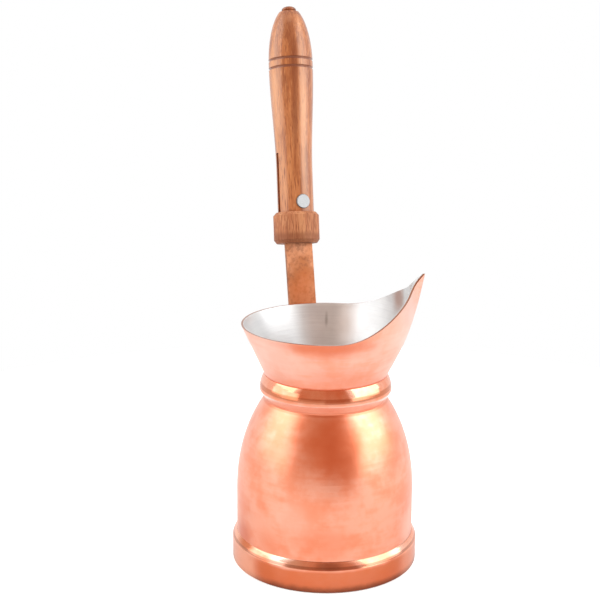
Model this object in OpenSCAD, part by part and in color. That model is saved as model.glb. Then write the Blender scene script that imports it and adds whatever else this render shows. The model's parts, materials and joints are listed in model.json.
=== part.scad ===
// Copper coffee pot with a pinched pouring lip and a folding wooden handle.
// Z is the axis of the pot, z = 0 is the surface it stands on, and the lip points along +X.
// Lengths are in millimetres and angles in degrees.

/* [Pot body] */
// Outer radius of the base band
base_r = 50.3; // [46:0.1:60]
// Height of the upright part of the base band
band_h = 12.5; // [8:0.5:18]
// Height of the rounded shoulder above the band
band_slope_h = 4; // [2:0.5:6]
// Thickness of the base plate
base_t = 1.6; // [1:0.1:3]
// How far the base band stands out from the belly
band_step = 2.4; // [1.5:0.1:4]
// Height at which the belly starts to close in
belly_wall_h = 40; // [30:1:55]
// Height that the closed dome of the belly would have above its wall
dome_h = 70; // [60:1:80]
// Outer radius of the neck tube
neck_r = 32.8; // [28:0.2:36]
// Thickness of the copper sheet
sheet_t = 1; // [0.8:0.1:1.5]
// Thickness of the tin lining
tin_t = 0.3; // [0.2:0.1:0.5]

/* [Neck ring] */
// Height of bare neck between the belly and the neck ring
ring_foot = 0.65; // [0.4:0.05:2]
// Height of the neck ring
ring_h = 12.8; // [11:0.2:16]
// How far the neck ring stands out from the neck tube
ring_out = 2.65; // [1.5:0.05:3]
// Height of the undercut below the widest line of the neck ring
ring_under_h = 4.3; // [3:0.1:6.5]

/* [Mouth] */
// Outer radius of the rim across the pot
rim_r = 44.3; // [40:0.1:48]
// How much further the rim reaches towards the lip and away from it
rim_long = 0.9; // [0:0.1:2]
// Height of the mouth, from the neck ring to the rim, away from the lip
mouth_h = 27; // [22:0.1:32]
// How much higher the rim is where it meets the lip
lip_rise = 18.5; // [10:0.5:22]
// Angle from the lip at which the rim starts to rise
lip_spread = 80; // [60:1:100]
// How much higher the tip of the lip is than the rim beside it
tip_rise = 9.3; // [4:0.1:12]
// How far the tip stands out past the rim's radius
tip_reach = 6.3; // [3:0.1:9]
// Angle over which the pinched tip blends into the rim
tip_blend = 3.2; // [2.5:0.1:6]
// How much wider the pinch is at the neck than at the rim
keel_blend = 14; // [8:1:20]
// Radius that the keel under the lip is drawn out to
keel_r = 46; // [44:0.1:49]
// Height of the fullest part of the keel above the neck ring
keel_h = 25; // [20:0.1:27]
// How sharply the keel bends at its fullest part
keel_bend = 1.8; // [1:0.1:2.5]

/* [Strap] */
// Width of the handle strap
strap_w = 16.4; // [12:0.2:18]
// Thickness of the handle strap
strap_t = 2; // [1.5:0.1:2.5]
// Angle from the lip to the strap, round the pot
strap_at = 108.7; // [100:0.1:115]
// Angle that the strap's face looks towards
strap_face = 119; // [112:0.5:122]
// How far the strap leans away from the pot
strap_lean = 14.5; // [12:0.5:16]
// How far the strap tips towards the lip in its own plane
strap_tip = 2.4; // [0:0.1:3]
// Gap between the rim and the middle of the strap
strap_gap = 2.8; // [2.5:0.1:3.5]
// Length of the strap's foot down the belly
foot_l = 27; // [24:0.5:30]
// Radius of the strap rivets
rivet_r = 2; // [1.5:0.1:2.5]
// Radius of the rivet heads
rivet_head_r = 4; // [3.5:0.1:4.5]
// Distance from the neck down to the upper rivet
rivet_drop = 12; // [11:0.5:14]
// How much lower the second rivet is
rivets_apart = 11.5; // [9:0.5:12]

/* [Handle] */
// Length of the strap from the rim to the hinge pin
pin_h = 56.2; // [54:0.2:62]
// Angle between the grip and the strap while the handle is open
grip_tilt = 2; // [0:0.1:2.5]
// Radius of the grip at the hinge pin
grip_r = 10.2; // [9.8:0.1:10.8]
// Largest radius of the grip
grip_swell_r = 12.5; // [11:0.1:13]
// How much narrower the domed end is than the grip below the grooves
grip_step = 0; // [0:0.1:0.8]
// Length of the grip above the hinge pin
grip_l = 108; // [100:0.2:115]
// Distance from the hinge pin up to the middle between the two grooves
grooves_at = 78; // [70:0.5:82]
// Distance between the two grooves
grooves_apart = 4.7; // [3:0.1:6]
// Depth of each groove
groove_d = 0.6; // [0.3:0.1:0.8]
// Height of the saw slot above the hinge pin
slot_h = 28; // [26:0.5:35]
// Gap between the strap and each side of the slot
slot_gap = 0.3; // [0.2:0.05:0.5]
// Radius of the hinge pin
pin_r = 2; // [1.5:0.1:2.5]
// Radius of the hinge pin's flat head
pin_head_r = 3.95; // [3.5:0.05:4.5]
// Thickness of the hinge pin's flat head
pin_head_t = 1.35; // [1:0.05:1.6]
// Radius of the button on the end of the grip
button_r = 4.1; // [3:0.1:5]
// Height of the button on the end of the grip
button_h = 3.4; // [2.5:0.1:4]

/* [Locking collar] */
// Outer radius of the locking collar
collar_r = 12.9; // [12:0.1:14]
// Height of the locking collar
collar_h = 17.4; // [15:0.2:20]
// Distance from the hinge pin down to the top of the collar
collar_drop = 5.5; // [5:0.1:8]
// Depth of the cone on the end of the grip, which sits in the collar
cone_h = 3.2; // [2.5:0.1:3.5]
// How much narrower the cone is at its end
cone_in = 1.5; // [1.3:0.1:1.8]
// Gap between the cone and the collar
cone_gap = 0.25; // [0.15:0.05:0.4]

/* [Hidden] */

copper = "#d98e68";
tin = "#cfcac4";
strap_copper = "#b9714b";
wood = "#c07a49";
steel = "#c9cbce";

$fn = 96;
step_deg = 2.5;
far = 100;

// Sizes that follow from the ones above
belly_r = base_r - band_step;
neck_z = belly_wall_h + dome_h * sin(acos(neck_r / belly_r));
ring_z = neck_z + ring_foot;
neck_top = ring_z + ring_h;
rim_z = neck_top + mouth_h;
keel_z = neck_top + keel_h;
shell_z = base_t;
seam_w = 1.4;
seam_tin = sheet_t + tin_t;
band_edge = 0.6;
band_curl = 12;
ring_widest_z = ring_z + ring_under_h;
ring_lip = 0.1;
strap_clear = 1;
strap_r = max(rim_r + strap_gap,
    neck_r + ring_out + strap_clear + strap_t / 2 + (rim_z - ring_widest_z) * tan(strap_lean));
strap_across = strap_r * sin(strap_at - strap_face);
strap_drop = 1 / (cos(strap_lean) * cos(strap_tip));
foot_top = -(rim_z - foot_z(neck_z - 30, neck_z)) * strap_drop;
rivet_high_z = neck_z - rivet_drop;
rivet_low_z = rivet_high_z - rivets_apart;
foot_round = strap_w / 2;
foot_lap = 2 * strap_t;
rivet_gap = 0.05;
rivet_head_h = 1.7;
rivet_seat = strap_t - 0.1;
burr_t = 0.7;
burr_gap = 0.2;
tail_h = 1.1;
tail_r = 3;
slot_w = strap_t + 2 * slot_gap;
slot_wall = strap_w / 2 + 0.7;
grip_end = collar_drop + cone_h;
hole_gap = 0.08;
seat_gap = 0.1;
pin_seat = grip_r - 0.85;
washer_t = 0.8;
washer_r = 3.6;
pin_tail_r = 2.9;
pin_tail_h = 1;
groove_w = 1.4;
button_foot_h = 1.2;
button_foot_in = 0.8;
collar_top_in = 1.6;
collar_top_h = 1.8;
collar_foot_in = 1.4;
collar_foot_h = 1.9;
collar_floor_gap = 0.3;
mouth_rings = 10;
mouth_half = 48;
mouth_focus = 1.7;
tip_round = 1;
tip_swoop = 5;

// ---------------------------------------------------------------- helpers

// A point t of the way from a to b
function mix(a, b, t) = a + (b - a) * t;

// Points of a circular arc round c, from angle a to angle b
function arc(c, r, a, b, n = 8) =
    [for (i = [0:n]) c + r * [cos(mix(a, b, i / n)), sin(mix(a, b, i / n))]];

// Outside of the belly and neck, with every surface moved in by o
function belly_line(o, z_low) =
    let (r = belly_r - o, h = dome_h - o, last = acos((neck_r - o) / r), n = ceil(last / step_deg))
    concat([[r, z_low]],
        [for (i = [0:n]) [r * cos(last * i / n), belly_wall_h + h * sin(last * i / n)]],
        [[neck_r - o, neck_top]]);

// Radius and outward slope of the belly at height z
function belly_at(z) = belly_r * sqrt(1 - pow((z - belly_wall_h) / dome_h, 2));
function belly_slope(z) =
    let (u = (z - belly_wall_h) / dome_h) atan(belly_r * u / (dome_h * sqrt(1 - u * u)));

// Height between low and high at which the middle of the strap comes down to the belly
function foot_z(low, high) =
    let (
        z = (low + high) / 2,
        along = strap_r * cos(strap_at - strap_face) - (rim_z - z) * tan(strap_lean),
        across = strap_across + (rim_z - z) * strap_drop * sin(strap_tip)
    )
    high - low < 0.01 ? z : norm([along, across]) > belly_at(z) ? foot_z(low, z) : foot_z(z, high);

// A wall that lies between two depths below the outside of the belly
module belly_wall(outer, inner, z_low) {
    rotate_extrude()
        polygon(concat(belly_line(outer, z_low), [for (i = [len(belly_line(inner, z_low)) - 1:-1:0])
            belly_line(inner, z_low)[i]]));
}

// The whole inside of the belly, swollen by extra
module belly_block(extra = 0) {
    rotate_extrude()
        polygon(concat([[0, shell_z]], belly_line(-extra, shell_z), [[0, neck_top]]));
}

// ---------------------------------------------------------------- mouth

// 1 at the lip, falling to 0 where the rim is level
function rise(a) = a < lip_spread ? pow(cos(a * 90 / lip_spread), 2) : 0;

// Angle from the lip with its point slightly rounded
function soft(a) = sqrt(a * a + tip_round * tip_round) - tip_round;

// Point of the mouth at angle a from the lip, t of the way from the neck to the rim
function mouth_point(a, t, o) =
    let (
        g = rise(abs(a)),
        s = soft(a),
        rim = rim_r + rim_long * pow(cos(a), 2),
        neck = [neck_r, neck_top],
        side = mix([(neck_r + rim) / 2, (neck_top + rim_z) / 2], [keel_r, keel_z], g),
        top = [rim + tip_reach * exp(-s / (tip_blend + keel_blend * pow(1 - t, 1.5))),
            rim_z + lip_rise * g + tip_rise * exp(-s / tip_swoop)],
        w = 2 * t * (1 - t) * mix(1, keel_bend, g),
        p = ((1 - t) * (1 - t) * neck + w * side + t * t * top) / ((1 - t) * (1 - t) + w + t * t),
        r = p[0] - o
    ) [r * cos(a), r * sin(a), p[1]];

// A wall that lies between two depths below the outside of the mouth
module mouth_wall(outer, inner) {
    across = 2 * mouth_half;
    up = mouth_rings + 1;
    angles = [for (i = [0:across - 1])
        let (s = (i - mouth_half) / mouth_half) 180 * sign(s) * pow(abs(s), mouth_focus)];
    points = concat(
        [for (j = [0:mouth_rings]) for (a = angles) mouth_point(a, j / mouth_rings, outer)],
        [for (j = [0:mouth_rings]) for (a = angles) mouth_point(a, j / mouth_rings, inner)]);
    side = across * up;
    function at(i, j, k) = k * side + j * across + i % across;
    faces = concat(
        [for (j = [0:mouth_rings - 1]) for (i = [0:across - 1]) each
            [[at(i, j, 0), at(i + 1, j + 1, 0), at(i + 1, j, 0)],
             [at(i, j, 0), at(i, j + 1, 0), at(i + 1, j + 1, 0)],
             [at(i, j, 1), at(i + 1, j, 1), at(i + 1, j + 1, 1)],
             [at(i, j, 1), at(i + 1, j + 1, 1), at(i, j + 1, 1)]]],
        [for (i = [0:across - 1]) each
            [[at(i, 0, 0), at(i + 1, 0, 0), at(i + 1, 0, 1)],
             [at(i, 0, 0), at(i + 1, 0, 1), at(i, 0, 1)],
             [at(i, mouth_rings, 0), at(i + 1, mouth_rings, 1), at(i + 1, mouth_rings, 0)],
             [at(i, mouth_rings, 0), at(i, mouth_rings, 1), at(i + 1, mouth_rings, 1)]]]);
    polyhedron(points, faces);
}

// ---------------------------------------------------------------- places

// Frame of the strap: Z runs up it, X looks away from the pot, and its origin is level with the rim
module at_strap() {
    translate([strap_r * cos(strap_at), strap_r * sin(strap_at), rim_z])
        rotate([0, 0, strap_face])
            rotate([0, strap_lean, 0])
                rotate([strap_tip, 0, 0])
                    children();
}

// Frame of the grip: the same directions, turned open about the hinge pin at its origin
module at_grip() {
    at_strap() translate([0, 0, pin_h]) rotate([grip_tilt, 0, 0]) children();
}

// Each rivet's place on the belly, with Z square to its surface
module at_rivets() {
    for (z = [rivet_high_z, rivet_low_z]) {
        across = strap_across + (rim_z - z) * strap_drop * sin(strap_tip);
        rotate([0, 0, strap_face + asin(across / belly_at(z))])
            translate([belly_at(z), 0, z])
                rotate([0, 90 - belly_slope(z), 0])
                    children();
    }
}

// A cylinder along X from x = a to x = b
module rod_x(r, a, b) {
    translate([a, 0, 0]) rotate([0, 90, 0]) cylinder(r = r, h = b - a);
}

// ---------------------------------------------------------------- pot

module base_pan() {
    lean = atan(band_step / band_slope_h);
    swell_r = norm([band_step, band_slope_h]) / 2 / sin(band_curl);
    centre = [base_r, band_h] - swell_r * [cos(lean - band_curl), sin(lean - band_curl)];
    color(copper)
        rotate_extrude()
            polygon(concat([[0, 0], [base_r - band_edge, 0]],
                arc([base_r - band_edge, band_edge], band_edge, -90, 0, 4),
                arc(centre, swell_r, lean - band_curl, lean + band_curl, 6),
                [[belly_r, base_t], [0, base_t]]));
}

module belly_shell() {
    color(copper) difference() {
        belly_wall(0, sheet_t, shell_z);
        at_rivets() cylinder(r = rivet_r + rivet_gap, h = 20, center = true);
    }
}

module neck_ring() {
    swell_h = neck_top - ring_widest_z;
    drop = ring_out - ring_lip;
    bend = 2 * atan(drop / swell_h);
    swell_r = swell_h / sin(bend);
    color(copper)
        rotate_extrude()
            polygon(concat([[neck_r, ring_z], [neck_r + ring_lip, ring_z]],
                arc([neck_r + ring_out - swell_r, ring_widest_z], swell_r, 0, bend, 10),
                [[neck_r, neck_top]]));
}

module mouth_flare() {
    color(copper) mouth_wall(0, sheet_t);
}

// ---------------------------------------------------------------- tin

module base_lining() {
    color(tin) translate([0, 0, base_t])
        cylinder(r = belly_r - seam_tin - seam_w, h = tin_t);
}

module belly_lining() {
    color(tin) difference() {
        belly_wall(sheet_t, seam_tin, shell_z);
        at_rivets() cylinder(r = rivet_r + rivet_gap, h = 20, center = true);
    }
}

module mouth_lining() {
    color(tin) mouth_wall(sheet_t, seam_tin);
}

module base_solder_seam() {
    r = belly_r - seam_tin;
    color(tin) rotate_extrude()
        polygon(concat([[r - seam_w, base_t], [r, base_t]],
            arc([r - seam_w, base_t + seam_w], seam_w, 0, -90, 6)));
}

// ---------------------------------------------------------------- strap

module handle_strap() {
    color(strap_copper) difference() {
        union() {
            at_strap() {
                translate([-strap_t / 2, -strap_w / 2, foot_top - foot_lap])
                    cube([strap_t, strap_w, pin_h - foot_top + foot_lap]);
                translate([0, 0, pin_h]) rod_x(strap_w / 2, -strap_t / 2, strap_t / 2);
            }
            intersection() {
                belly_block(strap_t);
                at_strap() {
                    translate([-base_r / 2, -strap_w / 2, foot_top - foot_l + foot_round])
                        cube([base_r, strap_w, foot_l - foot_round]);
                    translate([0, 0, foot_top - foot_l + foot_round])
                        rod_x(foot_round, -base_r / 2, base_r / 2);
                }
            }
        }
        belly_block();
        at_strap() translate([0, 0, pin_h]) rod_x(pin_r + hole_gap, -strap_t, strap_t);
        at_rivets() {
            cylinder(r = rivet_r + rivet_gap, h = 20, center = true);
            translate([0, 0, rivet_seat]) cylinder(r = rivet_head_r + rivet_gap, h = 10);
        }
    }
}

module strap_rivets() {
    dome_r = (rivet_head_r * rivet_head_r + rivet_head_h * rivet_head_h) / (2 * rivet_head_h);
    dome_half = asin(rivet_head_r / dome_r);
    inside = sheet_t + tin_t + burr_gap + burr_t;
    color(strap_copper) at_rivets() rotate_extrude()
        polygon(concat([[0, -inside - tail_h], [tail_r * 0.6, -inside - tail_h],
            [tail_r, -inside - tail_h * 0.4], [tail_r, -inside], [rivet_r, -inside],
            [rivet_r, rivet_seat], [rivet_head_r, rivet_seat]],
            arc([0, rivet_seat + rivet_head_h - dome_r], dome_r, 90 - dome_half, 90, 8)));
}

module rivet_burrs() {
    color(tin) at_rivets() translate([0, 0, -sheet_t - tin_t - burr_gap - burr_t])
        difference() {
            cylinder(r = rivet_head_r, h = burr_t);
            translate([0, 0, -1]) cylinder(r = rivet_r + rivet_gap, h = burr_t + 2);
        }
}

// ---------------------------------------------------------------- handle

// Radius of the grip at height z above the hinge pin
function grip_at(z) =
    let (waist = 18, swell = grooves_at, end_r = 5.7)
    z < waist ? grip_r :
    z < grooves_at ? mix(grip_r, grip_swell_r, (1 - cos(180 * (z - waist) / (swell - waist))) / 2) :
    let (u = (z - grooves_at) / (grip_l - grooves_at), full_r = grip_swell_r - grip_step)
        sqrt(pow(end_r, 2) + (pow(full_r, 2) - pow(end_r, 2)) * (1 - pow(u, 2.1)));

// A shallow round groove at height z
function groove(z) = [for (i = [0:4]) let (a = 180 * i / 4)
    [grip_at(z) - groove_d * sin(a), z - groove_w / 2 * cos(a)]];

module wooden_grip() {
    low = grooves_at - grooves_apart / 2;
    high = grooves_at + grooves_apart / 2;
    body_z = [for (i = [0:14]) mix(14, low - groove_w, i / 14)];
    dome_z = [for (i = [0:14]) mix(high + groove_w, grip_l, sin(90 * i / 14))];
    color(wood) at_grip() difference() {
        rotate_extrude()
            polygon(concat([[0, -grip_end], [grip_r - cone_in, -grip_end], [grip_r, -collar_drop]],
                [for (z = body_z) [grip_at(z), z]], groove(low), groove(high),
                [for (z = dome_z) [grip_at(z), z]], [[0, grip_l]]));
        translate([-slot_w / 2, -slot_wall, -grip_end - 1])
            cube([slot_w, slot_wall + grip_swell_r + 1, grip_end + 1 + slot_h]);
        rod_x(pin_r, -far / 2, far / 2);
        rod_x(pin_head_r + seat_gap, -grip_r - 5, -pin_seat);
        rod_x(washer_r + seat_gap, pin_seat, grip_r + 5);
    }
}

module grip_end_button() {
    color(wood) at_grip() translate([0, 0, grip_l])
        rotate_extrude()
            polygon(concat([[0, 0], [button_r - button_foot_in, 0]],
                [for (i = [0:8]) let (a = 90 * i / 8)
                    [button_r * cos(a), button_foot_h + (button_h - button_foot_h) * sin(a)]]));
}

module hinge_pin() {
    tail = pin_seat + washer_t;
    color(steel) at_grip() rotate([0, 90, 0]) rotate_extrude()
        polygon([[0, -pin_seat - pin_head_t], [pin_head_r - 0.3, -pin_seat - pin_head_t],
            [pin_head_r, -pin_seat - pin_head_t + 0.3], [pin_head_r, -pin_seat], [pin_r, -pin_seat],
            [pin_r, tail], [pin_tail_r, tail], [pin_tail_r, tail + pin_tail_h * 0.4],
            [pin_tail_r * 0.7, tail + pin_tail_h * 0.85], [0, tail + pin_tail_h]]);
}

module hinge_pin_washer() {
    color(steel) at_grip() difference() {
        rod_x(washer_r, pin_seat, pin_seat + washer_t);
        rod_x(pin_r, 0, grip_r + 5);
    }
}

module locking_collar() {
    cup_r = grip_r + cone_gap;
    cup_h = cone_h + collar_floor_gap;
    cup_end_r = cup_r - cone_in * cup_h / cone_h;
    color(wood) difference() {
        at_grip() translate([0, 0, -collar_drop - collar_h]) rotate_extrude()
            polygon([[0, 0], [collar_r - collar_foot_in, 0], [collar_r, collar_foot_h],
                [collar_r, collar_h - collar_top_h], [collar_r - collar_top_in, collar_h],
                [cup_r, collar_h], [cup_end_r, collar_h - cup_h], [0, collar_h - cup_h]]);
        at_strap() translate([-strap_t / 2 - slot_gap, -strap_w / 2 - slot_gap, 0])
            cube([strap_t + 2 * slot_gap, strap_w + 2 * slot_gap, pin_h]);
    }
}

base_pan();
belly_shell();
neck_ring();
mouth_flare();
base_lining();
belly_lining();
mouth_lining();
base_solder_seam();
handle_strap();
strap_rivets();
rivet_burrs();
wooden_grip();
grip_end_button();
hinge_pin();
hinge_pin_washer();
locking_collar();
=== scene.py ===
# %% [markdown]
# # A copper coffee pot with a folding handle
# This is a long-handled pot for boiling coffee: a spun copper belly on a base, a neck ring,
# a mouth drawn out to a pouring lip, and a turned wooden grip that folds down on a pin. The
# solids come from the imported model, so their sizes and places are fixed, and Blender's job
# is the look. The pieces could be painted with pictures. They are dressed with nodes
# instead, because nodes stay sharp up close and follow each piece when the grip folds.

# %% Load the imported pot
import bpy, math, json
from mathutils import Matrix, Vector


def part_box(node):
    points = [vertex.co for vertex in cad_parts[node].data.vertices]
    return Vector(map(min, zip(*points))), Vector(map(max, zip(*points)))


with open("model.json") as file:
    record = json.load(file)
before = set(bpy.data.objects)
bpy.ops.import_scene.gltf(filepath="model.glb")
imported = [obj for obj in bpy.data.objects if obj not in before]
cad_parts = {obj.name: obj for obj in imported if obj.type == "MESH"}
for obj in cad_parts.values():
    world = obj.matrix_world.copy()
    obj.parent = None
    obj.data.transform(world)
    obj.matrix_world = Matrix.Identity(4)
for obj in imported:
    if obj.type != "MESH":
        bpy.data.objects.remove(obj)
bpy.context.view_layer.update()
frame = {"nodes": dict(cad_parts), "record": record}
nodes = frame["nodes"]
print("nodes:", sorted(nodes))

# %% [markdown]
# ## The camera
# A tall pot is best seen from some way off, through a long lens, so that its sides stay
# nearly upright. A constraint could aim the camera at the pot. Its place and angles are
# written out instead, so that each can be nudged by itself. It looks across the lip from a
# little above the rim, so the lip's profile and the tin inside both show.

# %% Place the camera
TURN = math.radians(3)
EYE = Matrix.Rotation(TURN, 4, "Z") @ Vector((-0.0140, -0.6667, 0.310))
DOWN = math.radians(13.98)
ROLL = math.radians(0.3)
LENS_MM = 78.0
SENSOR_MM = 36.0
FAR = 20.0

camera_data = bpy.data.cameras.new("camera")
camera_data.lens = LENS_MM
camera_data.sensor_width = SENSOR_MM
camera_data.clip_end = FAR
camera = bpy.data.objects.new("camera", camera_data)
bpy.context.scene.collection.objects.link(camera)
level_view = Matrix.Rotation(TURN, 4, "Z") @ Matrix.Rotation(math.pi / 2 - DOWN, 4, "X")
camera.matrix_world = Matrix.Translation(EYE) @ level_view @ Matrix.Rotation(ROLL, 4, "Z")
bpy.context.scene.camera = camera
bpy.context.scene.view_settings.view_transform = "Standard"
print("camera at", [round(v, 3) for v in EYE])

# %% [markdown]
# ## Small helpers for node materials
# Every finish here is made of nodes, so it has no picture to stretch or repeat. Nodes could
# be placed and joined one at a time, but that takes three lines a node and hides the idea.
# One short helper adds a node, sets its plain values and joins its inputs, so that each
# material below reads from top to bottom. A second one does sums between two values.

# %% Helpers: add a node, and do a sum
def add(tree, kind, inputs=None, **settings):
    node = tree.nodes.new(kind)
    for name, value in settings.items():
        setattr(node, name, value)
    for name, value in (inputs or {}).items():
        if isinstance(value, bpy.types.NodeSocket):
            tree.links.new(value, node.inputs[name])
        else:
            node.inputs[name].default_value = value
    return node


def maths(tree, a, b, operation="ADD"):
    return add(tree, "ShaderNodeMath", {0: a, 1: b}, operation=operation).outputs[0]


print("helpers: add, maths")

# %% [markdown]
# Every finish starts with the same two nodes, Blender's general shader and the output. The
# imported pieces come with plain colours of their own, which are taken off when a piece is
# dressed in its finish. The pieces themselves are left as they are.

# %% Helpers: start a finish, and dress a piece in it
def start_finish(name):
    material = bpy.data.materials.new(name)
    material.use_nodes = True
    tree = material.node_tree
    tree.nodes.clear()
    out = add(tree, "ShaderNodeOutputMaterial")
    shader = add(tree, "ShaderNodeBsdfPrincipled")
    tree.links.new(shader.outputs["BSDF"], out.inputs["Surface"])
    return material, tree, shader


def dress(piece, material):
    surfaces = nodes[piece].data.materials
    surfaces.clear()
    surfaces.append(material)
    print(piece, "<-", material.name)


print("helpers: start_finish, dress")

# %% [markdown]
# Metal and wood are never one flat colour, and a noise node gives them their drift. Its
# values keep mostly between 0.3 and 0.7, so a plain use of it looks weak. One helper
# stretches any range to another, and `even` does that for a noise's usual range. Squeezing
# the coordinates along an axis before the noise draws it out into strokes or grain. Below,
# each noise is named by three numbers: its scale, its detail and its roughness.

# %% Helpers: noise, greys and stretched coordinates
NOISE_LOW = 0.3
NOISE_HIGH = 0.7


def noise(tree, where, scale, detail, rough):
    return add(tree, "ShaderNodeTexNoise",
               {"Vector": where, "Scale": scale, "Detail": detail, "Roughness": rough}).outputs["Fac"]


def grey(tree, fac, low, high, start=0.0, end=1.0, smooth=False):
    return add(tree, "ShaderNodeMapRange",
               {"Value": fac, "From Min": start, "From Max": end, "To Min": low, "To Max": high},
               interpolation_type="SMOOTHSTEP" if smooth else "LINEAR").outputs["Result"]


def even(tree, fac, low, high, smooth=False):
    return grey(tree, fac, low, high, NOISE_LOW, NOISE_HIGH, smooth)


def stretched(tree, where, scale):
    return add(tree, "ShaderNodeMapping", {"Vector": where, "Scale": scale}).outputs["Vector"]


print("a noise is taken to run from", NOISE_LOW, "to", NOISE_HIGH)

# %% [markdown]
# A finish here ends in three things that vary over the surface: its colour, how rough it
# is, and its small bumps. One helper mixes two colours by a grey, and another joins the
# three to the shader. Everything that is the same all over is set on the shader as a number.

# %% Helpers: mix two colours, and join a finish's three varying inputs
def mixed(tree, fac, a, b):
    node = add(tree, "ShaderNodeMix", data_type="RGBA")
    for name, value in (("Factor", fac), ("A", a), ("B", b)):
        socket = [s for s in node.inputs if s.name == name and s.enabled][0]
        if isinstance(value, bpy.types.NodeSocket):
            tree.links.new(value, socket)
        else:
            socket.default_value = value if name == "Factor" else (*value, 1.0)
    return [s for s in node.outputs if s.enabled][0]


def join(tree, shader, colour, rough, height, strength, depth):
    bump = add(tree, "ShaderNodeBump", {"Height": height, "Strength": strength, "Distance": depth})
    tree.links.new(colour, shader.inputs["Base Color"])
    tree.links.new(rough, shader.inputs["Roughness"])
    tree.links.new(bump.outputs["Normal"], shader.inputs["Normal"])


print("helpers: mixed, join")

# %% [markdown]
# ## Stains and painted light
# A pot that is used has stains, but most of the marks laid here are painted shade, painted
# highlights and painted reflections, put into the colour where the lamps and the room fall
# on the metal. They could be painted on a picture, but then they would blur up close. Here
# each mark is worked out from the point being shaded: a patch from how far that is from a
# centre, a level from how high it is, and a line from how far it is from one height. Each of
# the three makers returns a small function that lays its mark over the colours so far, so a
# finish is given its stains and painted light as a list, in the order in which they are
# laid. Lengths are in metres, and the amount says how much of the colours beneath is covered.
# A patch is strongest at its core and gone at its reach, and a little noise makes its edge
# ragged. Its shape stretches it along x, y and z.

# %% Stains: a soft patch round a point
ROUND = (1.0, 1.0, 1.0)
PATCH_EDGE = (90.0, 2.0, 0.5)
PATCH_RAGGED = 0.25
PATCH_CORE = 0.2


def patch(colour, centre, reach, amount, shape=ROUND):
    def lay(tree, where, base):
        local = add(tree, "ShaderNodeMapping", {"Vector": where, "Location": centre, "Scale": shape},
                    vector_type="TEXTURE").outputs["Vector"]
        away = add(tree, "ShaderNodeVectorMath", {0: local}, operation="LENGTH").outputs["Value"]
        rag = PATCH_RAGGED * reach
        away = maths(tree, away, grey(tree, noise(tree, where, *PATCH_EDGE), -rag, rag))
        strength = grey(tree, away, amount, 0.0, PATCH_CORE * reach, reach, smooth=True)
        return mixed(tree, strength, base, colour)
    return lay


print("a patch keeps its full colour over", PATCH_CORE, "of its reach")

# %% [markdown]
# A level has its full colour at one height and none at the other, so it can fade upwards
# or downwards. A line fades to both sides of its height.

# %% Stains: a level between two heights, and a line at one height
LEVEL_EDGE = (160.0, 3.0, 0.5)
LINE_CORE = 0.5


def level(colour, full, none, amount, ragged=0.0):
    def lay(tree, where, base):
        height = add(tree, "ShaderNodeSeparateXYZ", {"Vector": where}).outputs["Z"]
        height = maths(tree, height, even(tree, noise(tree, where, *LEVEL_EDGE), -ragged, ragged))
        return mixed(tree, grey(tree, height, amount, 0.0, full, none, smooth=True), base, colour)
    return lay


def line(colour, at, half, amount):
    def lay(tree, where, base):
        height = add(tree, "ShaderNodeSeparateXYZ", {"Vector": where}).outputs["Z"]
        off = maths(tree, maths(tree, height, at, "SUBTRACT"), 0.0, "ABSOLUTE")
        strength = grey(tree, off, amount, 0.0, LINE_CORE * half, half, smooth=True)
        return mixed(tree, strength, base, colour)
    return lay


print("a line keeps its full colour over", LINE_CORE, "of its half width")

# %% [markdown]
# The marks that go round the neck, lines and levels of painted shade and a paler painted
# reflection, lie at its joints. Their heights could be written as numbers, but counted from
# the neck ring's own box they follow it if the pot changes.

# %% The heights of the neck joints
ring_low, ring_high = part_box("neck_ring")
RING_FOOT = ring_low[2]
NECK_TOP = ring_high[2]
print("neck ring from", round(RING_FOOT, 4), "to", round(NECK_TOP, 4))

# %% [markdown]
# ## Polished copper
# The body was spun and beaten from sheet, soldered and polished by hand. Up close it is not
# one colour: rosy clouds drift into orange ones, with faint strokes round the pot where it
# was wiped. A single metal colour would look like plastic, so both are mixed by noise.

# %% Copper's drifting colour
CLOUDS = (52.0, 3.0, 0.55)
BLOTCHES = (150.0, 3.0, 0.6)
BLOTCH_PULL = 0.12
STROKES = (300.0, 3.0, 0.6)
ROUND_THE_POT = (0.15, 0.15, 1.0)


def copper_colour(tree, where, blotches, rosy, orange, brush):
    drift = noise(tree, where, *CLOUDS)
    drift = maths(tree, drift, even(tree, blotches, -BLOTCH_PULL, BLOTCH_PULL))
    strokes = noise(tree, stretched(tree, where, ROUND_THE_POT), *STROKES)
    drift = maths(tree, drift, even(tree, strokes, -brush, brush))
    return mixed(tree, even(tree, drift, 0.0, 1.0, smooth=True), orange, rosy)


print("copper's clouds are about", round(1000 / CLOUDS[0]), "mm across")

# %% [markdown]
# Dark tarnish gathers in fine specks where copper isn't polished, and the cut edge of the
# sheet stays brown. The rim's edge is the only part of its piece that faces up, so the way
# a face points is enough to find it, and no second material is needed.

# %% Copper's tarnish and its bare edge
TARNISH = (0.15, 0.055, 0.03)
SPECKS = (420.0, 4.0, 0.65)
SPECK_RANGE = (0.48, 0.64)
EDGE_FACING = (0.3, 0.5)


def tarnished(tree, where, base, amount):
    specks = noise(tree, where, *SPECKS)
    return mixed(tree, grey(tree, specks, 0.0, amount, *SPECK_RANGE), base, TARNISH)


def bare_edge(tree, base, colour):
    facing = add(tree, "ShaderNodeNewGeometry").outputs["Normal"]
    facing_up = add(tree, "ShaderNodeSeparateXYZ", {"Vector": facing}).outputs["Z"]
    return mixed(tree, grey(tree, facing_up, 0.0, 1.0, *EDGE_FACING), base, colour)


print("tarnish specks are about", round(1000 / SPECKS[0], 1), "mm across")

# %% [markdown]
# The hammer leaves broad shallow dents and the lathe leaves fine rings, and both bend the
# reflections. They could be cut into the mesh, but they are far thinner than the sheet, so
# a bump is enough. A thin clear film over the metal stands for the lacquer that keeps
# copper bright. The polish varies a little with the blotches of colour.

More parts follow.
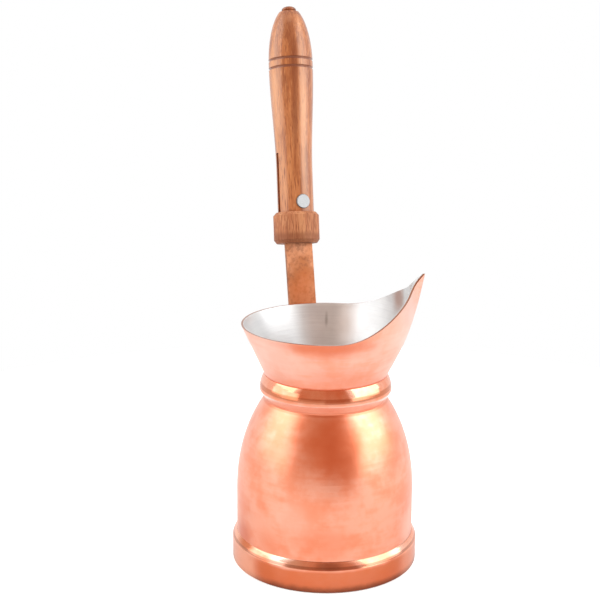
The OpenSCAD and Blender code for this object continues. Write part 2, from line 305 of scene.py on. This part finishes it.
# %% The copper finish
DENTS = (44.0, 2.0, 0.4)
DENT_DEPTH = 0.0006
LATHE_RINGS = (1300.0, 2.0, 0.6)
LATHE_STRETCH = (0.02, 0.02, 1.0)
SHINIEST = -0.01
DULLEST = 0.06
FILM_ROUGH = 0.28


def copper(name, rosy, orange, polish, dent, stains_and_painted_light=(), spin=0.0, edge=None,
           film=0.5, tarnish=0.0, brush=0.0):
    material, tree, shader = start_finish(name)
    where = add(tree, "ShaderNodeTexCoord").outputs["Object"]
    blotches = noise(tree, where, *BLOTCHES)
    base = copper_colour(tree, where, blotches, rosy, orange, brush)
    if tarnish:
        base = tarnished(tree, where, base, tarnish)
    for lay in stains_and_painted_light:
        base = lay(tree, where, base)
    if edge:
        base = bare_edge(tree, base, edge)
    rings = noise(tree, stretched(tree, where, LATHE_STRETCH), *LATHE_RINGS)
    dents = noise(tree, where, *DENTS)
    height = maths(tree, dents, grey(tree, rings, 0.0, spin))
    rough = even(tree, blotches, polish + SHINIEST, polish + DULLEST)
    join(tree, shader, base, rough, height, dent, DENT_DEPTH)
    shader.inputs["Metallic"].default_value = 1.0
    shader.inputs["Coat Weight"].default_value = film
    shader.inputs["Coat Roughness"].default_value = FILM_ROUGH
    return material


print("copper's dents are about", round(1000 / DENTS[0]), "mm across")

# %% [markdown]
# ## The belly
# The belly was spun from one disc and carries the broadest reflections. Its shoulder is
# painted redder in front, as painted shade where it mirrors the dim doorway, and so is its
# front low down. Four patches of painted shade dim its two highlights, two small places at
# its lower left are redder, and two places low on it are painted paler, as painted
# reflection. A line of painted shade runs just under the neck ring. The large red place
# comes first in the list, so that the small ones can lie on it.

# %% Copper on the belly
BELLY_RED_AND_SHADE = (0.76, 0.185, 0.08)
PALE_PAINTED_LIGHT = (0.98, 0.58, 0.45)
RED_AND_SHADE = (0.85, 0.225, 0.095)
belly_copper = copper("belly_copper", rosy=(0.95, 0.43, 0.29), orange=(0.92, 0.31, 0.17),
                      polish=0.30, dent=0.45, brush=0.08, stains_and_painted_light=[
    # Painted shade: the front of the shoulder is redder where it mirrors the dim doorway.
    patch(RED_AND_SHADE, (0.004, -0.040, 0.077), 0.024, 0.9, (1.0, 1.0, 1.1)),
    patch(BELLY_RED_AND_SHADE, (-0.043, -0.022, 0.019), 0.013, 0.85),
    patch(RED_AND_SHADE, (-0.028, -0.040, 0.022), 0.012, 0.45),
    # Painted shade: these four patches darken the belly where its two highlights fall.
    patch(BELLY_RED_AND_SHADE, (0.036, -0.026, 0.067), 0.012, 0.45, (1.0, 1.0, 1.4)),
    patch(BELLY_RED_AND_SHADE, (-0.032, -0.030, 0.066), 0.012, 0.3, (1.0, 1.0, 1.6)),
    patch(RED_AND_SHADE, (-0.0225, -0.0360, 0.0720), 0.013, 0.4),
    patch(RED_AND_SHADE, (0.0347, -0.0211, 0.0771), 0.012, 0.35),
    # Painted shade: the belly's front is redder low down, above the ledge.
    patch(RED_AND_SHADE, (0.002, -0.048, 0.026), 0.016, 0.5, (1.5, 1.0, 0.8)),
    # Painted reflection: the lower right edge and the lower front are paler.
    patch(PALE_PAINTED_LIGHT, (0.044, -0.017, 0.023), 0.014, 0.7),
    patch(PALE_PAINTED_LIGHT, (-0.0150, -0.0455, 0.0380), 0.014, 0.4, (1.2, 1.0, 1.0)),
    # Painted shade: a darker line just under the neck ring.
    line(BELLY_RED_AND_SHADE, RING_FOOT - 0.0005, 0.0016, 0.6),
])
dress("belly_shell", belly_copper)

# %% [markdown]
# ## The mouth
# The mouth is paler and rosier. Under the front of its rim it is painted a deeper red, as
# painted reflection, and towards the neck joint it turns redder, as painted shade, with a
# thin dark line of painted shade in the crease at the ring. The shade at the neck runs all
# round, so it is laid as levels and not as patches. Its two sides are painted paler, as
# painted reflection. The bare edge of the sheet is dark all round too.

# %% Copper on the mouth
RIM_SHADE_RED = (0.76, 0.18, 0.07)
LIP_PAINTED_REFLECTION = (0.99, 0.68, 0.58)
EDGE_BROWN = (0.40, 0.16, 0.085)
mouth_copper = copper("mouth_copper", rosy=(0.975, 0.53, 0.41), orange=(0.95, 0.43, 0.29),
                      polish=0.29, dent=0.4, brush=0.16, edge=EDGE_BROWN, stains_and_painted_light=[
    # Painted shade: the flare turns redder down towards the neck joint.
    level(RED_AND_SHADE, NECK_TOP - 0.0005, NECK_TOP + 0.0105, 0.45, 0.0010),
    # Painted shade: a thin dark line in the crease at the neck ring.
    level(RIM_SHADE_RED, NECK_TOP + 0.0003, NECK_TOP + 0.0012, 0.9, 0.0002),
    # Painted reflection: the two sides of the mouth are paler.
    patch(LIP_PAINTED_REFLECTION, (0.044, -0.012, 0.138), 0.026, 0.5, (0.8, 1.2, 1.2)),
    patch(LIP_PAINTED_REFLECTION, (-0.028, -0.032, 0.124), 0.020, 0.5),
    # Painted reflection: a deeper red under the front of the rim.
    patch(RIM_SHADE_RED, (0.006, -0.043, 0.130), 0.021, 0.70, (1.4, 1.0, 0.5)),
    patch(RIM_SHADE_RED, (0.000, -0.043, 0.1295), 0.022, 0.60, (1.6, 1.0, 0.2)),
    # Painted shade: a redder place low on the front, above the neck.
    patch(RIM_SHADE_RED, (0.010, -0.036, 0.112), 0.016, 0.3, (1.6, 1.0, 0.6)),
])
dress("mouth_flare", mouth_copper)

# %% [markdown]
# ## The neck ring
# The ring was turned on a lathe and burnished harder than the rest, so its reflections are
# sharp and show fine turning rings. Its underside is painted paler, as painted reflection of
# the copper shoulder beneath it, and low on its bead lies a darker line of painted shade, at
# the foot of its highlight. The line is at one height all round, so it follows the bead
# without being drawn.

# %% Copper on the neck ring
UNDER_PAINTED_REFLECTION = (0.90, 0.76, 0.68)
BEAD_SHADE = (0.55, 0.15, 0.055)
ring_copper = copper("ring_copper", rosy=(0.97, 0.44, 0.30), orange=(0.93, 0.32, 0.18),
                     polish=0.11, dent=0.3, spin=0.03, film=0.05, stains_and_painted_light=[
    # Painted reflection: the underside is paler where it mirrors the shoulder.
    level(UNDER_PAINTED_REFLECTION, RING_FOOT + 0.0039, RING_FOOT + 0.0049, 0.9, 0.0001),
    # Painted shade: a darker line low on the bead, at the foot of its highlight.
    line(BEAD_SHADE, RING_FOOT + 0.0073, 0.0017, 0.65),
])
dress("neck_ring", ring_copper)

# %% [markdown]
# ## The base
# The base's wall is painted redder below its ledge and darkest at its bottom edge, as
# painted shade where it mirrors the table in the pot's own shadow. Its two ends are painted
# paler, as painted reflection, and a few redder places lie on the wall. Its ledge is painted
# brown in front, as painted reflection of the dim doorway, with a line of painted shade low
# on it and a red one at its left end, and painted paler beside that, as painted highlight.
# The crease where the belly meets it holds a brown line of painted shade. Patches that are
# flattened along z keep to the narrow ledge. Like the neck's, the heights of its levels and
# its line are counted from its own box.

# %% Copper on the base
base_low, base_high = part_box("base_pan")
BASE_FOOT = base_low[2]
BASE_TOP = base_high[2]
BAND_RED_AND_SHADE = (0.66, 0.165, 0.056)
FOOT_SHADE_BROWN = (0.26, 0.075, 0.035)
PAINTED_SHADE_BROWN = (0.30, 0.09, 0.045)
BAND_PAINTED_REFLECTION = (0.98, 0.52, 0.36)
base_copper = copper("base_copper", rosy=(0.96, 0.42, 0.28), orange=(0.91, 0.30, 0.16),
                     polish=0.13, dent=0.3, spin=0.04, film=0.25, stains_and_painted_light=[
    # Painted shade: the wall is redder below the ledge, where it mirrors the table in the pot's shadow.
    level(BAND_RED_AND_SHADE, BASE_TOP - 0.0057, BASE_TOP - 0.0037, 0.8, 0.0003),
    # Painted shade: the bottom edge is darkest, next to the table.
    level(FOOT_SHADE_BROWN, BASE_FOOT + 0.0006, BASE_FOOT + 0.0044, 0.9, 0.0004),
    # Painted shade: a brown line in the crease where the belly meets the base.
    level(PAINTED_SHADE_BROWN, BASE_TOP + 0.0001, BASE_TOP - 0.0004, 0.75),
    # Painted reflection: the band's two ends are paler.
    patch(BAND_PAINTED_REFLECTION, (-0.045, -0.024, 0.006), 0.028, 0.85),
    patch(BAND_PAINTED_REFLECTION, (0.046, -0.019, 0.008), 0.016, 0.4),
    # Painted shade: a red line at the left end of the ledge.
    patch(BAND_RED_AND_SHADE, (-0.0414, -0.0264, 0.0155), 0.011, 0.95, (1.2, 1.2, 0.35)),
    patch(BAND_RED_AND_SHADE, (-0.030, -0.040, 0.008), 0.010, 0.8),
    patch(BAND_RED_AND_SHADE, (0.038, -0.033, 0.010), 0.010, 0.5),
    # Painted highlight: the ledge is paler beside its brown front.
    patch(PALE_PAINTED_LIGHT, (-0.018, -0.046, 0.015), 0.016, 0.95, (1.0, 1.0, 0.3)),
    patch(PALE_PAINTED_LIGHT, (0.040, -0.027, 0.015), 0.012, 0.7, (1.0, 1.0, 0.25)),
    # Painted reflection: the ledge is browner in front, where it mirrors the dim doorway.
    patch(PAINTED_SHADE_BROWN, (0.004, -0.0492, 0.0145), 0.010, 0.6, (1.0, 1.0, 0.3)),
    # Painted shade: a dark line low on the ledge.
    line(PAINTED_SHADE_BROWN, BASE_TOP - 0.0030, 0.0009, 0.55),
])
dress("base_pan", base_copper)
print("base from", round(BASE_FOOT, 4), "to", round(BASE_TOP, 4))

# %% [markdown]
# ## Smooth shading on the mouth
# The mouth is not a turned shape, so its solid is made of flat faces. The shape is fine
# enough, but each flat face would flash by itself. Its mesh could be smoothed, but the
# solids are never changed here. A small modifier joins the faces' corners and shades across
# them instead, and keeps the edges that turn by more than 35 degrees.

# %% A modifier that smooths the shading
SHARP = math.radians(35)
JOIN = 0.00001
group = bpy.data.node_groups.new("smooth_shading", "GeometryNodeTree")
group.interface.new_socket("Geometry", in_out="INPUT", socket_type="NodeSocketGeometry")
group.interface.new_socket("Geometry", in_out="OUTPUT", socket_type="NodeSocketGeometry")
step = add(group, "NodeGroupInput")
step = add(group, "GeometryNodeMergeByDistance", {"Geometry": step.outputs["Geometry"], "Distance": JOIN})
for old in ("custom_normal", "sharp_edge", "sharp_face"):
    step = add(group, "GeometryNodeRemoveAttribute", {"Geometry": step.outputs["Geometry"], "Name": old})
turn = add(group, "GeometryNodeInputMeshEdgeAngle").outputs["Unsigned Angle"]
gentle = add(group, "FunctionNodeCompare", {0: turn, 1: SHARP}, operation="LESS_THAN").outputs["Result"]
step = add(group, "GeometryNodeSetShadeSmooth",
           {"Geometry": step.outputs["Geometry"], "Shade Smooth": gentle}, domain="EDGE")
add(group, "NodeGroupOutput", {"Geometry": step.outputs["Geometry"]})
for piece in ("mouth_flare", "mouth_lining"):
    nodes[piece].modifiers.new("smooth_shading", "NODES").node_group = group
    print(piece, "is shaded smooth")

# %% [markdown]
# ## Wiped tin
# The inside of a copper pot is tinned: molten tin is wiped round the hot wall with a rag.
# It is softer and greyer than chrome, and it keeps the circular marks of the wiping. One
# stretched noise makes those marks in its polish and its bump, and its colour is half
# theirs and half that of broad clouds. It is not quite all metal here: its skin has dulled,
# and a little plain grey in it shows that. It has a painted highlight at the back, a scratch
# beside that, and brown painted shade in the narrow throat of the lip.

# %% Tin for the linings
TIN_DARK = (0.60, 0.61, 0.62)
TIN_LIGHT = (0.74, 0.75, 0.75)
TIN_PAINTED_HIGHLIGHT = (0.95, 0.96, 0.97)
THROAT_SHADE_BROWN = (0.42, 0.20, 0.13)
SCRATCH = (0.22, 0.21, 0.20)
WIPES = (900.0, 4.0, 0.65)
WIPE_STRETCH = (0.05, 0.05, 1.0)
WIPE_DEPTH = 0.0004
WIPE_STRENGTH = 0.2
TIN_CLOUDS = (60.0, 3.0, 0.5)
TIN_CLOUD_RANGE = (0.35, 0.65)
HALF = 0.5
TIN_ROUGH = (0.30, 0.42)
METAL_SHARE = 0.60

tin, tree, shader = start_finish("wiped_tin")
where = add(tree, "ShaderNodeTexCoord").outputs["Object"]
wipes = noise(tree, stretched(tree, where, WIPE_STRETCH), *WIPES)
clouds = noise(tree, where, *TIN_CLOUDS)
wiped = maths(tree, grey(tree, clouds, 0.0, HALF, *TIN_CLOUD_RANGE), even(tree, wipes, 0.0, HALF))
base = mixed(tree, wiped, TIN_DARK, TIN_LIGHT)
# Painted highlight at the back of the tin.
for lay in (patch(TIN_PAINTED_HIGHLIGHT, (0.0120, 0.0368, 0.1215), 0.012, 0.85, (1.0, 1.0, 2.0)),
            # Painted shade: brown in the narrow throat of the lip.
            patch(THROAT_SHADE_BROWN, (0.0385, 0.0200, 0.1410), 0.0075, 0.65, (1.0, 1.0, 1.5)),
            patch(SCRATCH, (-0.0012, 0.0385, 0.1235), 0.006, 0.5, (0.25, 1.0, 1.1))):
    base = lay(tree, where, base)
join(tree, shader, base, even(tree, wipes, *TIN_ROUGH), wipes, WIPE_STRENGTH, WIPE_DEPTH)
shader.inputs["Metallic"].default_value = METAL_SHARE
for piece in ("base_lining", "belly_lining", "mouth_lining", "base_solder_seam", "rivet_burrs"):
    dress(piece, tin)

# %% [markdown]
# ## The strap
# The strap is thicker copper that was heated to bend it and never polished bright, so it
# is darker and duller than the body, stained by the heat and specked with tarnish. It is
# the same metal, so the same function makes it, with less film and with tarnish.

# %% Copper for the strap
STRAP_RED = (0.42, 0.10, 0.022)
strap_copper = copper("strap_copper", rosy=(0.54, 0.245, 0.13), orange=(0.34, 0.12, 0.048),
                      polish=0.42, dent=0.5, film=0.1, tarnish=0.5, stains_and_painted_light=[
    patch(STRAP_RED, (-0.0165, 0.045, 0.135), 0.014, 0.6),
    patch(STRAP_RED, (-0.0140, 0.047, 0.144), 0.009, 0.45),
])
for piece in ("handle_strap", "strap_rivets"):
    dress(piece, strap_copper)

# %% [markdown]
# ## Varnished wood
# The grip was turned from a straight-grained blank, so its grain runs along it. The grip
# leans, so grain laid along x, y or z would cut across it. The texture is laid in the
# grip's own direction instead, taken from the hinge pin's place and axis.

# %% The grip's own directions
fold = next(j for j in frame["record"]["behaviour"]["joints"] if j["name"] == "grip_fold")
PIN = Vector(fold["pos_m"])
across = Vector(fold["axis"]).normalized()
low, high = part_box("grip_end_button")
tip = Vector([(a + b) / 2 for a, b in zip(low, high)])
along = (tip - PIN).normalized()
side = along.cross(across).normalized()
GRIP = Matrix((across, side, along)).transposed().to_4x4()
GRIP.translation = PIN
print("grip runs", [round(v, 3) for v in along])

# %% [markdown]
# Straight grain could be drawn as rings through a log, but a blank this thin shows only
# lines, so the grain is a noise that is drawn out hard along the grip. Pale flecks and fine
# dark pores lie in it, and each is a finer noise that is drawn out less. Each range says
# where in its noise a colour starts to show and where it covers.

# %% The wood's grain
GRAIN = (230.0, 4.0, 0.6)
GRAIN_STRETCH = (1.0, 1.0, 0.05)
PORES = (1900.0, 2.0, 0.6)
PORE_STRETCH = (1.0, 1.0, 0.08)
FLECKS = (1500.0, 1.0, 0.5)
FLECK_STRETCH = (1.0, 1.0, 0.14)
FIGURE = (70.0, 2.0, 0.5)
FIGURE_STRETCH = (1.0, 1.0, 0.3)
FIGURE_PULL = 0.12
MIDDLE_RANGE = (0.30, 0.52)
LIGHT_RANGE = (0.50, 0.74)
FLECK_RANGE = (0.56, 0.72)
FLECK_AMOUNT = 0.6
PORE_RANGE = (0.54, 0.68)
PORE_AMOUNT = 0.85


def grained(tree, local, bands, pores, dark, middle, light):
    clouds = noise(tree, stretched(tree, local, FIGURE_STRETCH), *FIGURE)
    flecks = noise(tree, stretched(tree, local, FLECK_STRETCH), *FLECKS)
    figure = maths(tree, bands, even(tree, clouds, -FIGURE_PULL, FIGURE_PULL))
    base = mixed(tree, grey(tree, figure, 0.0, 1.0, *MIDDLE_RANGE), dark, middle)
    base = mixed(tree, grey(tree, figure, 0.0, 1.0, *LIGHT_RANGE), base, light)
    base = mixed(tree, grey(tree, flecks, 0.0, FLECK_AMOUNT, *FLECK_RANGE), base, light)
    return mixed(tree, grey(tree, pores, 0.0, PORE_AMOUNT, *PORE_RANGE), base, dark)


print("grain lines are about", round(1000 / GRAIN[0], 1), "mm apart")

# %% [markdown]
# Varnish is a clear layer over the wood with its own sharp gloss, so it is the shader's
# coat. A warm tint on the wood's own reflection keeps it from looking grey.

# %% The wood finish
PORE_DEPTH = 0.0003
PORE_STRENGTH = 0.25
WARM = (1.0, 0.84, 0.66, 1.0)
VARNISH_ROUGH = 0.06
GLOSS_SPREAD = 0.1


def wood(name, dark, middle, light, gloss, shine, coat, stains_and_painted_light=()):
    material, tree, shader = start_finish(name)
    where = add(tree, "ShaderNodeTexCoord").outputs["Object"]
    local = add(tree, "ShaderNodeMapping", {"Vector": where, "Location": GRIP.translation,
                                            "Rotation": GRIP.to_euler()}, vector_type="TEXTURE")
    local = local.outputs["Vector"]
    bands = noise(tree, stretched(tree, local, GRAIN_STRETCH), *GRAIN)
    pores = noise(tree, stretched(tree, local, PORE_STRETCH), *PORES)
    base = grained(tree, local, bands, pores, dark, middle, light)
    for lay in stains_and_painted_light:
        base = lay(tree, local, base)
    rough = grey(tree, bands, gloss, gloss + GLOSS_SPREAD)
    join(tree, shader, base, rough, pores, PORE_STRENGTH, PORE_DEPTH)
    shader.inputs["Specular IOR Level"].default_value = shine
    shader.inputs["Specular Tint"].default_value = WARM
    shader.inputs["Coat Weight"].default_value = coat
    shader.inputs["Coat Roughness"].default_value = VARNISH_ROUGH
    return material


print("varnish roughness", VARNISH_ROUGH)

# %% [markdown]
# The grip has two turned grooves, drawn as dark lines, and a dark streak along it. Pale
# streaks along it are painted highlight, and its tip is painted darker, as painted shade
# that dims the highlight there. The marks use the grip's own directions, counted from the
# pin, so a groove is just a line at one distance along the grip.

# %% Wood for the grip
GROOVES_AT = 0.078
GROOVES_APART = 0.0047
GRIP_DARK_AND_SHADE = (0.22, 0.055, 0.02)
GRIP_PAINTED_HIGHLIGHT = (0.86, 0.47, 0.27)
grip_wood = wood("grip_wood", dark=GRIP_DARK_AND_SHADE, middle=(0.47, 0.155, 0.05), light=(0.68, 0.29, 0.115),
                 gloss=0.30, shine=0.6, coat=0.50, stains_and_painted_light=[
    patch(GRIP_DARK_AND_SHADE, (0.011, -0.0034, 0.060), 0.0026, 0.75, (4.0, 1.0, 24.0)),
    # Painted highlight: pale streaks where the grip's highlights fall.
    patch(GRIP_PAINTED_HIGHLIGHT, (0.012, 0.0012, 0.045), 0.0034, 0.45, (4.0, 1.0, 20.0)),
    patch(GRIP_PAINTED_HIGHLIGHT, (0.004, -0.0130, 0.050), 0.0050, 0.45, (2.0, 1.0, 12.0)),
    # Painted shade: the tip is darker, dimming its highlight.
    patch(GRIP_DARK_AND_SHADE, (0.010, -0.0060, 0.100), 0.0070, 0.6, (1.0, 1.0, 2.5)),
    patch(GRIP_DARK_AND_SHADE, (-0.006, -0.0110, 0.101), 0.0060, 0.4, (1.0, 1.0, 2.5)),
    patch(GRIP_DARK_AND_SHADE, (0.004, -0.0045, 0.103), 0.0040, 0.45, (1.0, 1.0, 2.0)),
    line(GRIP_DARK_AND_SHADE, GROOVES_AT - GROOVES_APART / 2, 0.0010, 0.85),
    line(GRIP_DARK_AND_SHADE, GROOVES_AT + GROOVES_APART / 2, 0.0010, 0.85),
])
dress("wooden_grip", grip_wood)

# %% [markdown]
# The button on the grip's end is a darker, denser wood. The collar that locks the grip was
# left nearly bare of varnish, so that it doesn't stick, and its foot is painted darker, as
# painted shade on its lower chamfer. Both are the same finish as the grip, with other
# colours and less coat.

# %% Wood for the button and the collar
FOOT_SHADE_TOP = -0.0190
FOOT_SHADE_FADE = 0.0030
COLLAR_DARK = (0.22, 0.065, 0.028)
button_wood = wood("button_wood", dark=(0.12, 0.032, 0.014), middle=(0.30, 0.085, 0.03),
                   light=(0.45, 0.16, 0.06), gloss=0.35, shine=0.6, coat=0.30)
collar_wood = wood("collar_wood", dark=COLLAR_DARK, middle=(0.50, 0.19, 0.085),
                   light=(0.66, 0.32, 0.155), gloss=0.55, shine=0.35, coat=0.05, stains_and_painted_light=[
    # Painted shade: the collar's foot is darker.
    level(COLLAR_DARK, FOOT_SHADE_TOP, FOOT_SHADE_TOP + FOOT_SHADE_FADE, 0.6),
])
dress("grip_end_button", button_wood)
dress("locking_collar", collar_wood)

# %% [markdown]
# ## The hinge pin
# The pin has a flat steel head, turned and then dulled by handling. Fine scratches could be
# cut as a bump, but at this size they only spread the light, so they are left to the
# roughness and a small change of grey.

# %% Steel for the pin
STEEL_DARK = (0.30, 0.315, 0.325)
STEEL_LIGHT = (0.38, 0.39, 0.395)
SCRATCHES = (1500.0, 3.0, 0.7)
SCRATCH_RANGE = (0.35, 0.65)
STEEL_ROUGH = (0.30, 0.45)
steel, tree, shader = start_finish("pin_steel")
where = add(tree, "ShaderNodeTexCoord").outputs["Object"]
scratches = noise(tree, where, *SCRATCHES)
worn = mixed(tree, grey(tree, scratches, 0.0, 1.0, *SCRATCH_RANGE), STEEL_DARK, STEEL_LIGHT)
tree.links.new(worn, shader.inputs["Base Color"])
tree.links.new(grey(tree, scratches, *STEEL_ROUGH), shader.inputs["Roughness"])
shader.inputs["Metallic"].default_value = 1.0
for piece in ("hinge_pin", "hinge_pin_washer"):
    dress(piece, steel)

# %% [markdown]
# ## The table
# The table is a plain pale disc, just under the pot's foot. It could be a wide floor, but
# then the grip, high above it, would mirror the floor. A small one leaves it the room. It
# glows a little to the camera only, so it looks white and still takes the pot's shadow.

# %% The table top
TABLE_R = 0.42
TABLE_SIDES = 96
TABLE_DROP = 0.0002
TABLE_WHITE = 0.87
TABLE_GLOW = 0.5
TABLE_ROUGH = 0.9
corners = [math.tau * i / TABLE_SIDES for i in range(TABLE_SIDES)]
mesh = bpy.data.meshes.new("table")
mesh.from_pydata([(TABLE_R * math.cos(a), TABLE_R * math.sin(a), 0) for a in corners],
                 [], [tuple(range(TABLE_SIDES))])
table = bpy.data.objects.new("table", mesh)
bpy.context.scene.collection.objects.link(table)
table.location.z = -TABLE_DROP
print("table radius", TABLE_R)

# %% The table's finish
pale, tree, shader = start_finish("pale_table")
seen = add(tree, "ShaderNodeLightPath").outputs["Is Camera Ray"]
shader.inputs["Base Color"].default_value = (TABLE_WHITE, TABLE_WHITE, TABLE_WHITE, 1)
shader.inputs["Roughness"].default_value = TABLE_ROUGH
shader.inputs["Specular IOR Level"].default_value = 0.0
shader.inputs["Emission Color"].default_value = (1, 1, 1, 1)
tree.links.new(maths(tree, seen, TABLE_GLOW, "MULTIPLY"), shader.inputs["Emission Strength"])
mesh.materials.append(pale)
print("table <-", pale.name)

# %% [markdown]
# ## The room
# A polished pot shows the whole room, so the room matters as much as the metal. It could be
# built of walls, but a world drawn by direction costs nothing and reflects the same: pale
# walls with a wide dim doorway behind the camera, in two parts that reach down differently.
# The doorway's lower edge is soft, so the belly's dark place fades out downwards. Its sides
# are given in degrees, and its bottom and top in heights from -1 to 1. The camera itself
# sees plain white all round, so the pot stands before white from the back as well.

# %% Helper: a doorway in the world
world = bpy.data.worlds.new("room")
bpy.context.scene.world = world
world.use_nodes = True
tree = world.node_tree
tree.nodes.clear()
way = add(tree, "ShaderNodeTexCoord").outputs["Generated"]
up = add(tree, "ShaderNodeSeparateXYZ", {"Vector": way}).outputs["Z"]
DEGREES_UP = 90


def doorway(azimuth, half, low, fade, high, soft):
    toward = add(tree, "ShaderNodeMapping", {"Vector": way, "Rotation": (0, 0, -math.radians(azimuth))})
    turned = add(tree, "ShaderNodeSeparateXYZ", {"Vector": toward.outputs["Vector"]}).outputs
    angle = maths(tree, turned["Y"], turned["X"], "ARCTAN2")
    aside = maths(tree, angle, 0.0, "ABSOLUTE")
    sideways = grey(tree, aside, 1.0, 0.0, math.radians(half - soft), math.radians(half + soft))
    bottom = grey(tree, up, 0.0, 1.0, low - fade, low + fade, smooth=True)
    top = grey(tree, up, 1.0, 0.0, high - soft / DEGREES_UP, high + soft / DEGREES_UP)
    return maths(tree, sideways, maths(tree, bottom, top, "MULTIPLY"), "MULTIPLY")


print("made the world", world.name)

# %% The room's walls and doorway
FRONT = -87.0
WHITE = (1.0, 1.0, 1.0)
LEFT_DOOR = (0.62, 0.38, 0.26)
RIGHT_DOOR = (0.58, 0.31, 0.20)
DOOR_TOP = 0.90
DOOR_FADE = 0.12
left = doorway(FRONT - 27, half=26, low=0.06, fade=DOOR_FADE, high=DOOR_TOP, soft=3)
right = doorway(FRONT + 20, half=22, low=-0.06, fade=DOOR_FADE, high=DOOR_TOP, soft=2)
room = mixed(tree, left, WHITE, LEFT_DOOR)
room = mixed(tree, right, room, RIGHT_DOOR)
camera_ray = add(tree, "ShaderNodeLightPath").outputs["Is Camera Ray"]
background = mixed(tree, camera_ray, room, WHITE)
sky = add(tree, "ShaderNodeBackground", {"Color": background, "Strength": 1.0})
out = add(tree, "ShaderNodeOutputWorld")
tree.links.new(sky.outputs["Background"], out.inputs["Surface"])
print("the room is drawn in the world, its doorway at", FRONT, "degrees")

# %% [markdown]
# ## The soft boxes
# A tall soft box stands at each side, with a dimmer skirt below it. They could be drawn in
# the world too, but real panels at a real distance reflect differently in a low belly and a
# high grip, as in a studio. Blender gives an area light its power in watts, and its
# brightness is that power over four times its area. Working the power out from a wanted
# brightness keeps a panel equally bright when its size changes.

# %% The soft boxes
BOX_AWAY = 0.70
BOX_TOP = 1.15
LEFT_FOOT = 0.40
RIGHT_FOOT = 0.24
SKIRT_FOOT = 0.10
WATTS_PER_AREA = 4


def soft_box(name, azimuth, width, foot, top, brightness):
    light = bpy.data.lights.new(name, "AREA")
    light.shape = "RECTANGLE"
    light.size = width
    light.size_y = top - foot
    light.energy = WATTS_PER_AREA * width * (top - foot) * brightness
    box = bpy.data.objects.new(name, light)
    bpy.context.scene.collection.objects.link(box)
    turn = math.radians(azimuth)
    box.location = (BOX_AWAY * math.cos(turn), BOX_AWAY * math.sin(turn), (foot + top) / 2)
    box.rotation_euler = (math.pi / 2, 0, turn + math.pi / 2)
    box.visible_camera = False
    print(name, round(light.energy, 2), "W")


soft_box("left_soft_box", FRONT - 87, width=0.70, foot=LEFT_FOOT, top=BOX_TOP, brightness=1.55)
soft_box("left_skirt", FRONT - 76, width=0.74, foot=SKIRT_FOOT, top=LEFT_FOOT, brightness=0.9)
soft_box("right_soft_box", FRONT + 79, width=0.74, foot=RIGHT_FOOT, top=BOX_TOP, brightness=1.75)
soft_box("right_skirt", FRONT + 74, width=0.78, foot=SKIRT_FOOT, top=RIGHT_FOOT, brightness=1.3)
